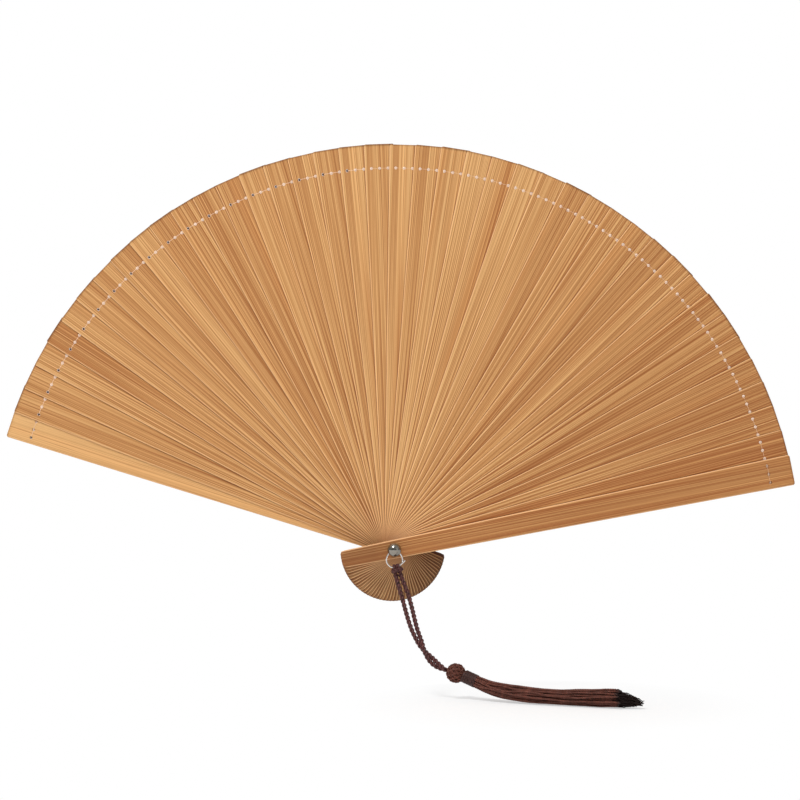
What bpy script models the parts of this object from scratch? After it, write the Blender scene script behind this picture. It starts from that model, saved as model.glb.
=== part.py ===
"""Folding fan of 40 thin leaves between two guards, turning on one rivet, with a hanging ring and a tassel.

The open fan stands upright in the XZ plane with its front towards -Y. The origin is on the rivet's axis, midway
through the stack. Stick 0 is the back guard at the left, stick 41 is the front guard at the right, and each stick
lies in front of its left-hand neighbour. Seen from the front, an angle is counted anticlockwise from +X.
"""

import math

import bmesh
import bpy
import numpy as np
from mathutils import Vector

MM = 0.001

# The sticks
LEAVES = 40
BACK_ANGLE = 161.9  # degrees, the back guard's middle line in the open fan
FRONT_ANGLE = 11.2
RIM_RADIUS = 203 * MM
TAIL_RADIUS = 26.7 * MM
RIM_WIDTH = 15.3 * MM
TAIL_WIDTH = 8.4 * MM
RIM_CORNER = 0.7 * MM
TAIL_CORNER = 1.5 * MM
LEAF_THICK = 0.45 * MM
GUARD_THICK = 2.0 * MM
LEAF_GAP = 0.10 * MM

# The thread near the rim, through three holes in each stick
THREAD_RADIUS = 191 * MM
THREAD_SPACING = 4.2 * MM
THREAD_HOLE = 0.7 * MM
KNOT_HOLE_GAP = 0.15 * MM

# The rivet
PIN_RADIUS = 1.2 * MM
PIN_CLEARANCE = 0.1 * MM
WASHER_RADIUS = 3.2 * MM
WASHER_THICK = 0.5 * MM
SEAT_GAP = 0.15 * MM
BALL_RADIUS = 3.45 * MM
CAP_RADIUS = 3.0 * MM
CAP_HEIGHT = 1.7 * MM
PIN_TIP_DEPTH = 0.9 * MM

# The hanging ring, through an eye in the rivet's ball head
RING_RADIUS = 4.0 * MM
RING_WIRE = 0.4 * MM
RING_DROP = 4.8 * MM  # from the ball's centre down to the ring's centre
RING_TILT = 35.0  # degrees that the ring swings forward
EYE_CLEARANCE = 0.3 * MM

# The cord: a loop hitched on the ring, whose two strands run down to the tassel
STRAND = 1.9 * MM
TOUCH_GAP = 0.3 * MM
HITCH_RADIUS = 1.75 * MM
HITCH_HALF_ANGLE = 38.0
CORD_TURNS = 0.75  # that the strands make about each other below TWIST_START
TWIST_START = 0.62  # share of the cord's length
CORD_POINTS = 29
STRAND_APART = 3.4 * MM
CORD_ROUTE = (
    (1.4, -17.0, -10.9),
    (2.4, -17.6, -14.2),
    (3.8, -18.9, -18.2),
    (5.4, -20.6, -23.2),
    (6.9, -22.6, -28.8),
    (8.3, -24.5, -34.2),
    (9.8, -26.4, -39.0),
    (11.8, -28.3, -43.7),
    (14.1, -30.0, -48.3),
    (17.2, -31.6, -52.4),
    (20.7, -32.9, -55.6),
    (24.7, -33.8, -57.7),
)

# The tassel, lying out to the right on the table, 72 mm under the rivet
HEAD_CENTRE = (29.6, -34.5, -59.2)
HEAD_RADIUS = 4.9 * MM
TASSEL_ROUTE = (
    (34.6, -36.6, -60.9),
    (40.3, -40.0, -63.2),
    (46.0, -43.6, -65.2),
    (52.5, -47.4, -66.5),
    (60.5, -51.8, -67.3),
    (68.0, -55.6, -67.7),
    (76.0, -59.3, -67.8),
    (84.0, -62.7, -67.7),
    (92.0, -65.9, -67.4),
    (99.0, -68.5, -67.2),
    (106.0, -71.0, -67.2),
    (113.0, -73.4, -67.6),
)
NECK_RADIUS = 3.4 * MM
NECK_SHARE = 0.065  # of the tassel's route that the neck binding covers
SKIRT_RADII = (3.3, 4.0, 4.3, 4.2, 4.0, 4.2, 4.6, 4.4)  # mm, evenly along the skirt

STICKS = LEAVES + 2
PITCH = (BACK_ANGLE - FRONT_ANGLE) / (STICKS - 1)
LEAF_STACK = LEAVES * LEAF_THICK + (LEAVES + 1) * LEAF_GAP
FACE_Y = LEAF_STACK / 2 + GUARD_THICK  # the guards' outer faces stand at -FACE_Y and +FACE_Y
BALL_Y = -(FACE_Y + 2 * SEAT_GAP + WASHER_THICK + 0.93 * BALL_RADIUS)
RING_CENTRE = Vector((0, BALL_Y, -RING_DROP))


def material(name, color, roughness, metallic=0.0):
    made = bpy.data.materials.new(name)
    made.use_nodes = True
    shader = made.node_tree.nodes["Principled BSDF"]
    shader.inputs["Base Color"].default_value = (*color, 1)
    shader.inputs["Roughness"].default_value = roughness
    shader.inputs["Metallic"].default_value = metallic
    return made


def add_object(name, bm, finish, smooth_angle=None):
    """Turns a bmesh into an object in the scene, with its faces pointing out."""
    bmesh.ops.recalc_face_normals(bm, faces=bm.faces)
    mesh = bpy.data.meshes.new(name)
    bm.to_mesh(mesh)
    bm.free()
    mesh.materials.append(finish)
    if smooth_angle is not None:
        mesh.shade_smooth()
        mesh.set_sharp_from_angle(angle=math.radians(smooth_angle))
    made = bpy.data.objects.new(name, mesh)
    bpy.context.collection.objects.link(made)
    return made


def circle(centre, radius, sides, start=0.0):
    """Points of a circle in a stick's own plane, as (along, across)."""
    turns = (start + 2 * math.pi * k / sides for k in range(sides))
    return [(centre[0] + radius * math.cos(t), centre[1] + radius * math.sin(t)) for t in turns]


def corner_arc(corner, radius, start, steps):
    """A quarter circle that rounds a right-angled corner, from the start angle in degrees, anticlockwise."""
    inward = math.radians(start + 45)
    centre = (
        corner[0] - radius * math.sqrt(2) * math.cos(inward),
        corner[1] - radius * math.sqrt(2) * math.sin(inward),
    )
    turns = (math.radians(start + 90 * k / steps) for k in range(steps + 1))
    return [(centre[0] + radius * math.cos(t), centre[1] + radius * math.sin(t)) for t in turns]


def stick_outline():
    """A stick's outline: a long taper with rounded corners, the rivet's axis at (0, 0) and the rim along +X."""
    rim, tail = RIM_WIDTH / 2, TAIL_WIDTH / 2
    return (
        corner_arc((RIM_RADIUS, -rim), RIM_CORNER, -90, 2)
        + corner_arc((RIM_RADIUS, rim), RIM_CORNER, 0, 2)
        + corner_arc((-TAIL_RADIUS, tail), TAIL_CORNER, 90, 3)
        + corner_arc((-TAIL_RADIUS, -tail), TAIL_CORNER, 180, 3)
    )


def stick_mesh(name, thickness, finish):
    """A flat stick with its rivet hole and thread holes, lying along +X with its thickness along Y."""
    bore = (PIN_RADIUS + PIN_CLEARANCE) / math.cos(math.pi / 12)
    loops = [stick_outline(), circle((0, 0), bore, 12)]
    loops += [circle((THREAD_RADIUS, k * THREAD_SPACING), THREAD_HOLE, 6) for k in (-1, 0, 1)]
    bm = bmesh.new()
    for loop in loops:
        points = [bm.verts.new((u, -thickness / 2, v)) for u, v in loop]
        for a, b in zip(points, points[1:] + points[:1]):
            bm.edges.new((a, b))
    bmesh.ops.triangle_fill(bm, use_beauty=True, edges=bm.edges[:])
    face = bmesh.ops.extrude_face_region(bm, geom=bm.faces[:])
    moved = [v for v in face["geom"] if isinstance(v, bmesh.types.BMVert)]
    bmesh.ops.translate(bm, verts=moved, vec=(0, thickness, 0))
    bmesh.ops.recalc_face_normals(bm, faces=bm.faces)
    mesh = bpy.data.meshes.new(name)
    bm.to_mesh(mesh)
    bm.free()
    mesh.materials.append(finish)
    return mesh


def stick_angle(stick):
    return BACK_ANGLE - PITCH * stick


def stick_depth(stick):
    """Y of a stick's middle plane."""
    if stick == 0:
        return FACE_Y - GUARD_THICK / 2
    if stick == STICKS - 1:
        return -FACE_Y + GUARD_THICK / 2
    first = LEAF_STACK / 2 - LEAF_GAP - LEAF_THICK / 2
    return first - (stick - 1) * (LEAF_THICK + LEAF_GAP)


def place_stick(name, mesh, stick):
    made = bpy.data.objects.new(name, mesh)
    made.location = (0, stick_depth(stick), 0)
    made.rotation_euler = (0, -math.radians(stick_angle(stick)), 0)
    bpy.context.collection.objects.link(made)


def make_sticks():
    bamboo = material("leaf_bamboo", (0.50, 0.26, 0.10), 0.55)
    pale = material("guard_bamboo", (0.60, 0.34, 0.15), 0.5)
    leaf = stick_mesh("leaf", LEAF_THICK, bamboo)
    guard = stick_mesh("guard", GUARD_THICK, pale)
    place_stick("back_guard", guard, 0)
    for number in range(1, LEAVES + 1):
        place_stick(f"leaf_{number:02d}", leaf, number)
    place_stick("front_guard", guard, STICKS - 1)


def turned(profile, sides):
    """A solid turned about the Y axis from (radius, y) points that start and end on the axis."""
    bm = bmesh.new()
    rings = []
    for radius, y in profile:
        if radius == 0:
            rings.append([bm.verts.new((0, y, 0))])
            continue
        turns = (2 * math.pi * k / sides for k in range(sides))
        rings.append([bm.verts.new((radius * math.cos(t), y, radius * math.sin(t))) for t in turns])
    join_rings(bm, rings)
    return bm


def join_rings(bm, rings, closed=False):
    """Faces between neighbouring rings. A ring of one point is a pole."""
    pairs = list(zip(rings, rings[1:]))
    if closed:
        pairs.append((rings[-1], rings[0]))
    for a, b in pairs:
        count = max(len(a), len(b))
        for k in range(count):
            corners = [a[k % len(a)], a[(k + 1) % len(a)], b[(k + 1) % len(b)], b[k % len(b)]]
            bm.faces.new(list(dict.fromkeys(corners)))


def make_rivet():
    """The post with its ball head and eye, the cap on its far end, and a washer under each."""
    nickel = material("nickel", (0.62, 0.60, 0.57), 0.22, 1.0)
    steps = 9
    base = math.asin(PIN_RADIUS / BALL_RADIUS)
    ball = [
        (BALL_RADIUS * math.sin(a), BALL_Y - BALL_RADIUS * math.cos(a))
        for a in (math.pi * k / steps for k in range(steps))
        if a < math.pi - base - 0.05
    ]
    ball[0] = (0, ball[0][1])
    neck = BALL_Y + BALL_RADIUS * math.cos(base)
    tip = FACE_Y + 2 * SEAT_GAP + WASHER_THICK + PIN_TIP_DEPTH
    post = turned([*ball, (PIN_RADIUS, neck), (PIN_RADIUS, tip), (0, tip)], 20)
    post = add_object("rivet_post", post, nickel, 40)
    cut_eye(post)
    seat = FACE_Y + 2 * SEAT_GAP + WASHER_THICK
    bore = PIN_RADIUS + PIN_CLEARANCE + 0.1 * MM
    cap = turned(
        [
            (0, tip + TOUCH_GAP),
            (bore, tip + TOUCH_GAP),
            (bore, seat),
            (CAP_RADIUS, seat),
            (CAP_RADIUS, seat + 0.35 * CAP_HEIGHT),
            (0.8 * CAP_RADIUS, seat + 0.78 * CAP_HEIGHT),
            (0.42 * CAP_RADIUS, seat + CAP_HEIGHT),
            (0, seat + 1.04 * CAP_HEIGHT),
        ],
        20,
    )
    add_object("rivet_cap", cap, nickel, 40)
    for name, side in (("front_washer", -1), ("back_washer", 1)):
        add_object(name, washer(side), nickel, 40)


def washer(side):
    """A flat ring between a guard's face and the rivet's head or cap. side is -1 at the front."""
    near = side * (FACE_Y + SEAT_GAP)
    far = near + side * WASHER_THICK
    inner = PIN_RADIUS + PIN_CLEARANCE + 0.1 * MM
    bm = bmesh.new()
    rings = []
    for radius, y in ((inner, near), (WASHER_RADIUS, near), (WASHER_RADIUS, far), (inner, far)):
        turns = (2 * math.pi * k / 20 for k in range(20))
        rings.append([bm.verts.new((radius * math.cos(t), y, radius * math.sin(t))) for t in turns])
    join_rings(bm, rings, closed=True)
    return bm


def cut_eye(post):
    """The eye across the ball head: a channel along the ring's arc, flared so that the ring can tilt forward."""
    swing = math.radians(RING_TILT / 2)
    reach = BALL_RADIUS + 0.4 * MM
    bm = bmesh.new()
    rings = []
    for x in np.linspace(-reach, reach, 11):
        z = RING_CENTRE.z + math.sqrt(RING_RADIUS**2 - min(abs(x), 0.97 * RING_RADIUS) ** 2)
        drop = RING_CENTRE.z + RING_RADIUS - z
        radius = RING_WIRE + EYE_CLEARANCE + drop * math.sin(swing)
        middle = (BALL_Y - drop * math.sin(swing), RING_CENTRE.z + RING_RADIUS - drop * math.cos(swing))
        turns = (2 * math.pi * k / 10 for k in range(10))
        section = [(x, middle[0] + radius * math.cos(t), middle[1] + radius * math.sin(t)) for t in turns]
        rings.append([bm.verts.new(point) for point in section])
    join_rings(bm, rings)
    bm.faces.new(rings[0])
    bm.faces.new(rings[-1])
    cutter = add_object("eye_cutter", bm, post.data.materials[0])
    cutter.hide_render = True
    cutter.display_type = "WIRE"
    cut = post.modifiers.new("eye", "BOOLEAN")
    cut.operation = "DIFFERENCE"
    cut.object = cutter


def make_ring():
    silver = material("ring_steel", (0.75, 0.74, 0.72), 0.2, 1.0)
    bm = bmesh.new()
    rings = []
    for k in range(32):
        turn = 2 * math.pi * k / 32
        out = Vector((math.cos(turn), 0, math.sin(turn)))
        rings.append(wire_section(bm, RING_CENTRE + RING_RADIUS * out, out, RING_WIRE, 8))
    join_rings(bm, rings, closed=True)
    add_object("hanging_ring", bm, silver, 60)


def wire_section(bm, middle, out, radius, sides):
    """A circle of points about a point of the ring, in the plane of the outward direction and Y."""
    turns = (2 * math.pi * k / sides for k in range(sides))
    across = Vector((0, 1, 0))
    return [bm.verts.new(middle + radius * (math.cos(t) * out + math.sin(t) * across)) for t in turns]


def make_hitch(finish):
    """The cord's wraps on the ring's lowest stretch, as a bent sleeve that the wire passes through."""
    bm = bmesh.new()
    inner, outer = [], []
    for share in np.linspace(-1, 1, 9):
        turn = math.radians(-90 + share * HITCH_HALF_ANGLE)
        out = Vector((math.cos(turn), 0, math.sin(turn)))
        middle = RING_CENTRE + RING_RADIUS * out
        inner.append(wire_section(bm, middle, out, RING_WIRE + 0.25 * MM, 10))
        outer.append(wire_section(bm, middle, out, HITCH_RADIUS, 10))
    join_rings(bm, inner)
    join_rings(bm, outer)
    join_rings(bm, [inner[0], outer[0]])
    join_rings(bm, [inner[-1], outer[-1]])
    add_object("cord_hitch", bm, finish, 60)


def smooth_route(points, count):
    """Evenly spaced points, in metres, on the smooth curve through a route's own points, given in mm."""
    p = np.array(points, float) * MM
    padded = np.vstack([2 * p[0] - p[1], p, 2 * p[-1] - p[-2]])
    fine = []
    for a, b, c, d in zip(padded, padded[1:], padded[2:], padded[3:]):
        for t in np.linspace(0, 1, 20, endpoint=False):
            bend = (2 * a - 5 * b + 4 * c - d) * t**2 + (3 * b - a - 3 * c + d) * t**3
            fine.append(b + ((c - a) * t + bend) / 2)
    fine = np.array([*fine, p[-1]])
    run = np.concatenate([[0], np.cumsum(np.linalg.norm(np.diff(fine, axis=0), axis=1))])
    even = np.linspace(0, run[-1], count)
    return np.stack([np.interp(even, run, fine[:, k]) for k in range(3)], axis=1)


def strand_points(side):
    """One strand's route. The pair lies side by side, then its strands turn about each other above the tassel."""
    middle = smooth_route(CORD_ROUTE, CORD_POINTS)
    along = np.gradient(middle, axis=0)
    along /= np.linalg.norm(along, axis=1)[:, None]
    points = []
    for k, share in enumerate(np.linspace(0, 1, len(middle))):
        across = np.cross(along[k], (0, 1, 0))
        across /= np.linalg.norm(across)
        front = np.cross(along[k], across)
        close = STRAND + TOUCH_GAP
        apart = close
        if share < TWIST_START:
            apart += (STRAND_APART - close) * math.sin(math.pi * share / TWIST_START)
        turn = 2 * math.pi * CORD_TURNS * max(0.0, share - TWIST_START) / (1 - TWIST_START)
        points.append(middle[k] + side * apart / 2 * (math.cos(turn) * across + math.sin(turn) * front))
    return points


def tube(name, points, diameter, finish):
    curve = bpy.data.curves.new(name, "CURVE")
    curve.dimensions = "3D"
    curve.bevel_depth = diameter / 2
    curve.bevel_resolution = 2
    curve.use_fill_caps = True
    spline = curve.splines.new("POLY")
    spline.points.add(len(points) - 1)
    for target, point in zip(spline.points, points):
        target.co = (*point, 1)
    curve.materials.append(finish)
    made = bpy.data.objects.new(name, curve)
    bpy.context.collection.objects.link(made)


def lofted(route, radii, sides):
    """A closed solid of round sections along a route."""
    along = np.gradient(route, axis=0)
    bm = bmesh.new()
    rings = []
    for point, direction, radius in zip(route, along, radii):
        across = Vector(direction).cross(Vector((0, 0, 1))).normalized()
        up = across.cross(Vector(direction)).normalized()
        turns = (2 * math.pi * k / sides for k in range(sides))
        centre, reach = Vector(point), float(radius)
        rings.append([bm.verts.new(centre + reach * (math.cos(t) * across + math.sin(t) * up)) for t in turns])
    join_rings(bm, rings)
    bm.faces.new(rings[0])
    bm.faces.new(rings[-1])
    return bm


def make_tassel(finish):
    """The round head knot, the binding at its neck and the skirt of threads, each a plain solid."""
    bm = bmesh.new()
    bmesh.ops.create_uvsphere(bm, u_segments=16, v_segments=10, radius=HEAD_RADIUS)
    bmesh.ops.translate(bm, verts=bm.verts, vec=Vector(HEAD_CENTRE) * MM)
    add_object("tassel_head_knot", bm, finish, 60)
    route = smooth_route(TASSEL_ROUTE, 120)
    split = round(NECK_SHARE * len(route))
    neck = route[: split + 1]
    bulge = np.sin(np.pi * np.linspace(0.15, 0.85, len(neck)))
    add_object("tassel_neck_binding", lofted(neck, NECK_RADIUS * (0.85 + 0.15 * bulge), 12), finish, 60)
    skirt = route[split + 1 :: 6]
    radii = np.interp(np.linspace(0, 1, len(skirt)), np.linspace(0, 1, len(SKIRT_RADII)), SKIRT_RADII) * MM
    add_object("tassel_skirt", lofted(skirt, radii, 12), finish, 60)


def make_thread_ends():
    """The thread's two ends, each knotted in a hole of a guard."""
    thread = material("thread", (0.78, 0.72, 0.62), 0.7)
    for name, stick, side in (("thread_knot_back", 0, -1), ("thread_knot_front", STICKS - 1, 1)):
        bm = bmesh.new()
        radius = THREAD_HOLE * math.cos(math.pi / 6) - KNOT_HOLE_GAP
        bmesh.ops.create_uvsphere(bm, u_segments=10, v_segments=8, radius=radius)
        bmesh.ops.translate(bm, verts=bm.verts, vec=(THREAD_RADIUS, 0, side * THREAD_SPACING))
        knot = add_object(name, bm, thread, 60)
        knot.location = (0, stick_depth(stick), 0)
        knot.rotation_euler = (0, -math.radians(stick_angle(stick)), 0)


def main():
    for leftover in list(bpy.data.objects):
        bpy.data.objects.remove(leftover)
    make_sticks()
    make_rivet()
    make_ring()
    silk = material("silk_cord", (0.10, 0.03, 0.022), 0.6)
    make_hitch(silk)
    tube("cord_left", strand_points(-1), STRAND, silk)
    tube("cord_right", strand_points(1), STRAND, silk)
    make_tassel(silk)
    make_thread_ends()


main()
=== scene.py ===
"""Folding fan: split bamboo sticks on one rivet, a rim thread, a ring, a cord and a tassel."""

import math

import bmesh
import bpy
import numpy as np
from bpy.props import FloatProperty, FloatVectorProperty, IntProperty, PointerProperty
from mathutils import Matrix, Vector


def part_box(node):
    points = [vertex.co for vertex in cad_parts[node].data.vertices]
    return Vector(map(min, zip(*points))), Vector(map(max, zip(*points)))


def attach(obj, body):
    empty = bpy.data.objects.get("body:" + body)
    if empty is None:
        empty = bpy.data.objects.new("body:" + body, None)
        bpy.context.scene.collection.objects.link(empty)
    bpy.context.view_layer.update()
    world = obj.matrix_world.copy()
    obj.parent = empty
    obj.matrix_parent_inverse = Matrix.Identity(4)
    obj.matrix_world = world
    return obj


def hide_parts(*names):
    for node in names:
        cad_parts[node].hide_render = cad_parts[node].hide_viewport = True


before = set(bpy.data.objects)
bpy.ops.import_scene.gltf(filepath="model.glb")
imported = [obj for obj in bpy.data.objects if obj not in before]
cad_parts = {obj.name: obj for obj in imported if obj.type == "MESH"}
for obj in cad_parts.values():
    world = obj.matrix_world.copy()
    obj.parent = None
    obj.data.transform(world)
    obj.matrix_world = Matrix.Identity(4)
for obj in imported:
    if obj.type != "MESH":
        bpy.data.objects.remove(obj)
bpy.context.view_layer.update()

bl_info = {
    "name": "Folding fan",
    "version": (1, 0, 0),
    "blender": (4, 5, 0),
    "location": "View3D > Sidebar > Fan",
    "description": "Builds a bamboo folding fan with its rivet, ring, cord and tassel",
    "category": "Object",
}

MM = 0.001
STICKS = [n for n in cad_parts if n.startswith("leaf_")]
STICKS = ["back_guard", *sorted(STICKS), "front_guard"]
TABLE_HEIGHT = -0.072

# The routes that the cord's and the tassel's solids follow, in millimetres.
CORD_ROUTE = (
    (1.4, -17.0, -10.9),
    (2.4, -17.6, -14.2),
    (3.8, -18.9, -18.2),
    (5.4, -20.6, -23.2),
    (6.9, -22.6, -28.8),
    (8.3, -24.5, -34.2),
    (9.8, -26.4, -39.0),
    (11.8, -28.3, -43.7),
    (14.1, -30.0, -48.3),
    (17.2, -31.6, -52.4),
    (20.7, -32.9, -55.6),
    (24.7, -33.8, -57.7),
)
TASSEL_ROUTE = (
    (34.6, -36.6, -60.9),
    (40.3, -40.0, -63.2),
    (46.0, -43.6, -65.2),
    (52.5, -47.4, -66.5),
    (60.5, -51.8, -67.3),
    (68.0, -55.6, -67.7),
    (76.0, -59.3, -67.8),
    (84.0, -62.7, -67.7),
    (92.0, -65.9, -67.4),
    (99.0, -68.5, -67.2),
    (106.0, -71.0, -67.2),
    (113.0, -73.4, -67.6),
)
SKIRT_RADII = (3.2, 3.9, 4.2, 4.1, 4.0, 4.3, 4.8, 4.9)  # mm, evenly along the skirt
CORD_POINTS = 29
STRAND = 1.9 * MM  # a strand's diameter
STRAND_APART = 3.4 * MM  # the strands' widest distance, middle to middle
STRAND_GAP = 0.3 * MM
TWIST_START = 0.62  # share of the cord where the strands begin to turn round each other
CORD_TURNS = 0.75
NECK_SHARE = 0.065  # share of the tassel's route that the neck's winding takes
SKIRT_END = 0.945  # share of the tassel's route where the frayed tips begin
TASSEL_PLACE = (0.075, -0.055, TABLE_HEIGHT)

# The sticks, in metres unless a comment says otherwise.
STICK_STEP = math.radians(3.676)  # from one stick to the next
TONE_ANGLES = (11, 30, 55, 80, 100, 160)  # degrees from +X, where the leaves' drift in tone and painted light is given
# Partly the leaves' own tone, partly painted light and shade: the sticks near upright are lighter and the
# right side darker.
TONE_AND_LIGHT_DRIFT = (-0.22, -0.3, -0.12, 0.3, 0.04, 0.02)
TONE_SPREAD = 0.12
PALEST = 0.97
RIM_SPREAD = 0.00025  # how far a leaf's end may be from the rim
LEAF_WEAR = 0.00012  # how far the wear at an edge goes down into a face
GUARD_WEAR = 0.0004
LEAF_WEAR_WIDTH = 0.0005
GUARD_WEAR_WIDTH = 0.0007
SHARP = math.radians(35)

# The rim thread.
LOOSE_AND_SHADED_FROM = 95  # degrees from +X, past which the thread is looser and the dark plug in its outer hole is painted shade for a shadowed hole
TIGHT_YARN = 0.00006
LOOSE_YARN = 0.00011
PLUG_PLAY = 0.00007  # between a hole and the thread in it
THREAD_BEHIND = 0.0072  # how far a stitch runs on behind the next stick

# The rivet and the ring.
HITCH_TURN = math.radians(-75)  # where the hitch sits on the ring, from +X
RING_START, RING_END = -20, 314  # degrees from +X, the part of the ring that is round
RING_STEPS = 72
SPRUNG_END = 0.85  # length of the ring's straight end, in ring radii
SPRUNG_STEPS = 6
RING_MIDDLE = -0.0048  # height of the ring's middle
EYE_LEAN = math.radians(17.5)  # half of the ring's tilt
EYE_PLAY = 0.0003
PIN_PLAY = 0.0001
PIN_CHAMFER = 0.0001
COLLAR_EDGE = 0.00015
CAP_EDGE = 0.0002
METAL_SHARP = math.radians(40)

LIT_POINT = (0.0, 0.0, 0.05)


# ---------------------------------------------------------------- settings


class FanSettings(bpy.types.PropertyGroup):
    """Sizes and colours of the sticks and the rim thread."""

    rim_radius: FloatProperty(name="Rim radius", description="Rivet to rim", default=0.203, unit="LENGTH")
    tail_radius: FloatProperty(name="Tail radius", description="Rivet to tail", default=0.0267, unit="LENGTH")
    rim_width: FloatProperty(name="Rim width", description="A stick's width at the rim", default=0.0153,
                             unit="LENGTH")
    tail_width: FloatProperty(name="Tail width", description="A stick's width at its tail", default=0.0084,
                              unit="LENGTH")
    rib_depth: FloatProperty(name="Fibre relief", description="Depth of the planed fibres", default=0.00005,
                             precision=6, unit="LENGTH")
    thread_radius: FloatProperty(name="Thread radius", description="Rivet to the rim thread", default=0.191,
                                 unit="LENGTH")
    thread_spacing: FloatProperty(name="Stitch length", description="From one thread hole to the next",
                                  default=0.0042, unit="LENGTH")
    thread_hole: FloatProperty(name="Thread hole", description="Radius of a thread hole", default=0.0007,
                               precision=5, unit="LENGTH")
    seed: IntProperty(name="Seed", description="Seed of the sticks' small differences", default=11)
    pale: FloatVectorProperty(name="Pale fibre", description="Colour of the palest fibres", subtype="COLOR",
                              default=(0.80, 0.47, 0.195))
    mid: FloatVectorProperty(name="Bamboo", description="Colour of most of the wood", subtype="COLOR",
                             default=(0.57, 0.275, 0.092))
    dark: FloatVectorProperty(name="Dark fibre", description="Colour of the dark fibres", subtype="COLOR",
                              default=(0.36, 0.125, 0.032))
    # Pale planed wood, with a painted highlight for the light that the edges catch.
    planed_highlight: FloatVectorProperty(name="Planed edge", description="Colour of the sticks' planed edges",
                                subtype="COLOR", default=(0.88, 0.52, 0.24))
    # Painted shade: the colour of the dark plug that stands in for a shadowed outer hole.
    shaded: FloatVectorProperty(name="Shaded thread", description="Colour of the thread's soiled knots",
                                subtype="COLOR", default=(0.07, 0.028, 0.014))
    thread: FloatVectorProperty(name="Thread", description="Colour of the rim thread", subtype="COLOR",
                                default=(0.86, 0.62, 0.45))


class CordSettings(bpy.types.PropertyGroup):
    """Sizes and colours of the cord and the tassel."""

    lay_length: FloatProperty(name="Lay", description="Length of one turn of the cord's plies",
                              default=0.0044, precision=4, unit="LENGTH")
    skirt_threads: IntProperty(name="Skirt threads", description="Twisted threads in the tassel", default=48)
    seed: IntProperty(name="Seed", description="Seed of the threads' small differences", default=4)
    neck: FloatVectorProperty(name="Neck silk", description="Colour of the winding at the tassel's neck",
                              subtype="COLOR", default=(0.055, 0.022, 0.018))
    silk: FloatVectorProperty(name="Tassel", description="Colour of the tassel's threads", subtype="COLOR",
                              default=(0.135, 0.043, 0.028))
    cord: FloatVectorProperty(name="Cord", description="Colour of the cord", subtype="COLOR",
                              default=(0.075, 0.016, 0.014))
    tips: FloatVectorProperty(name="Tips", description="Colour of the tassel's tips", subtype="COLOR",
                              default=(0.016, 0.008, 0.007))


class MetalSettings(bpy.types.PropertyGroup):
    """Sizes and colours of the rivet and the ring."""

    ball_radius: FloatProperty(name="Ball", description="Radius of the rivet's head", default=0.00345,
                               precision=5, unit="LENGTH")
    pin_radius: FloatProperty(name="Pin", description="Radius of the rivet's shank", default=0.0012,
                              precision=5, unit="LENGTH")
    ring_radius: FloatProperty(name="Ring", description="Radius of the ring's middle line", default=0.004,
                               precision=5, unit="LENGTH")
    wire_radius: FloatProperty(name="Wire", description="Radius of the ring's wire", default=0.0004,
                               precision=5, unit="LENGTH")
    wire: FloatVectorProperty(name="Wire colour", description="Colour of the ring's wire", subtype="COLOR",
                              default=(0.80, 0.77, 0.73))
    nickel: FloatVectorProperty(name="Nickel", description="Colour of the plating", subtype="COLOR",
                                default=(0.30, 0.285, 0.25))


class StageSettings(bpy.types.PropertyGroup):
    """The floor, the lights and the camera's distance."""

    distance: FloatProperty(name="Camera distance", description="From the rivet to the camera", default=1.2,
                            unit="LENGTH")
    view_width: FloatProperty(name="View width", description="Width seen at the rivet", default=0.4022,
                              unit="LENGTH")
    aim: FloatProperty(name="Aim", description="How far right of the rivet the camera looks", default=0.0033,
                       precision=4, unit="LENGTH")
    height: FloatProperty(name="Height", description="The camera's height over the rivet", default=0.0743,
                          precision=4, unit="LENGTH")
    turn: FloatProperty(name="Turn", description="How far the camera is turned to the right", default=0.0305,
                        precision=4, unit="ROTATION")
    key: FloatProperty(name="Key light", description="Power of the main light, in watts", default=20.5)
    fill: FloatProperty(name="Fill light", description="Power of the second light, in watts", default=1.6)
    sky: FloatProperty(name="Surround", description="Strength of the white surround", default=0.4)


# ---------------------------------------------------------------- node trees


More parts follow.
